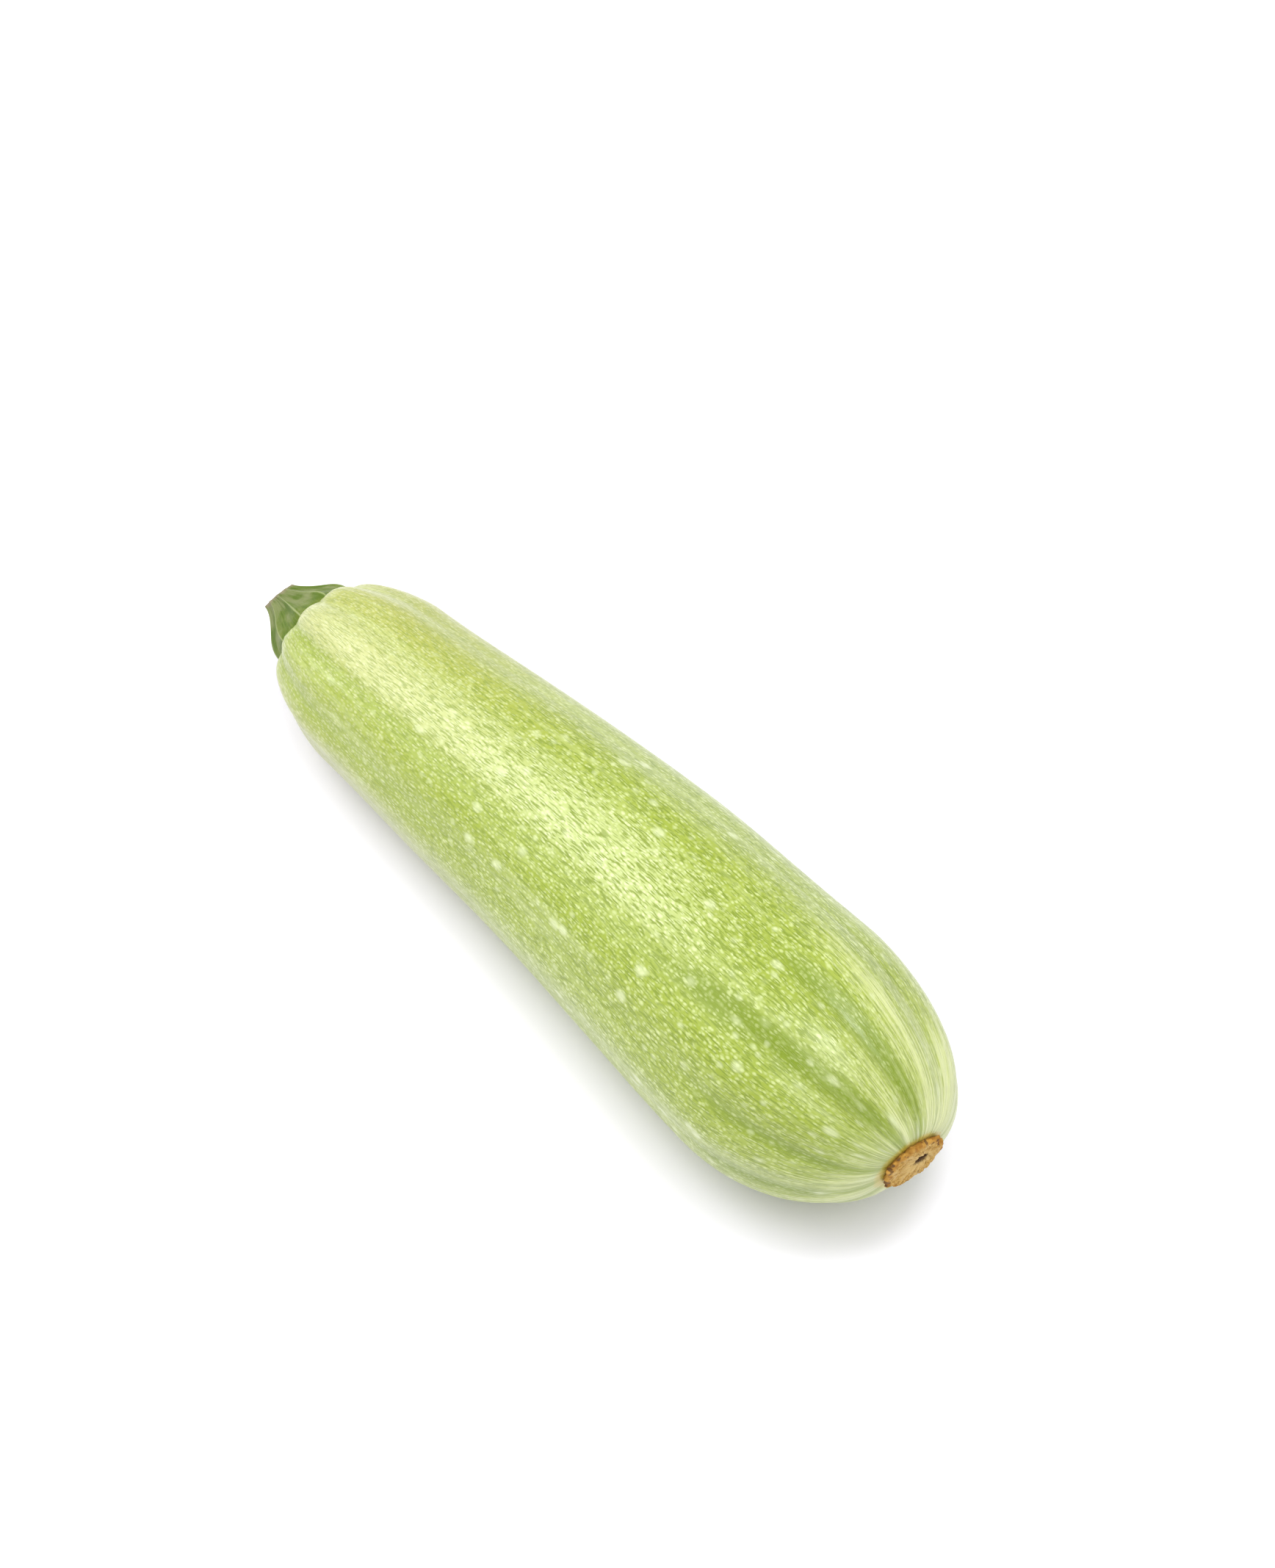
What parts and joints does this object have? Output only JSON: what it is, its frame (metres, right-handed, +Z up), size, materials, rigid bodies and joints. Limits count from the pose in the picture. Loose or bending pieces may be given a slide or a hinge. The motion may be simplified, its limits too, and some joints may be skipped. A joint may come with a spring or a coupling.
{
  "type": "zucchini",
  "caption": "Pale green zucchini lying on its belly: a ribbed fruit, slimmer towards its cut stem, with a dry blossom scar at the round end.",
  "frame": {"origin": "bottom centre of the bounding box, on the surface that the zucchini lies on", "axes": "+Z up, +X along the fruit from the stem to the blossom end, +Y sideways, to the side that the middle line bows to"},
  "size_m": [0.2054, 0.0578, 0.0575],
  "materials": {
    "pale_green_skin": "waxy satin skin with fine pale speckles",
    "stem_green": "matt fibrous stalk",
    "dry_cork": "dry rough cork"
  },
  "bodies": {
    "root": {"fruit": "pale_green_skin", "stem": "stem_green", "blossom_scar": "dry_cork"}
  },
  "joints": []
}
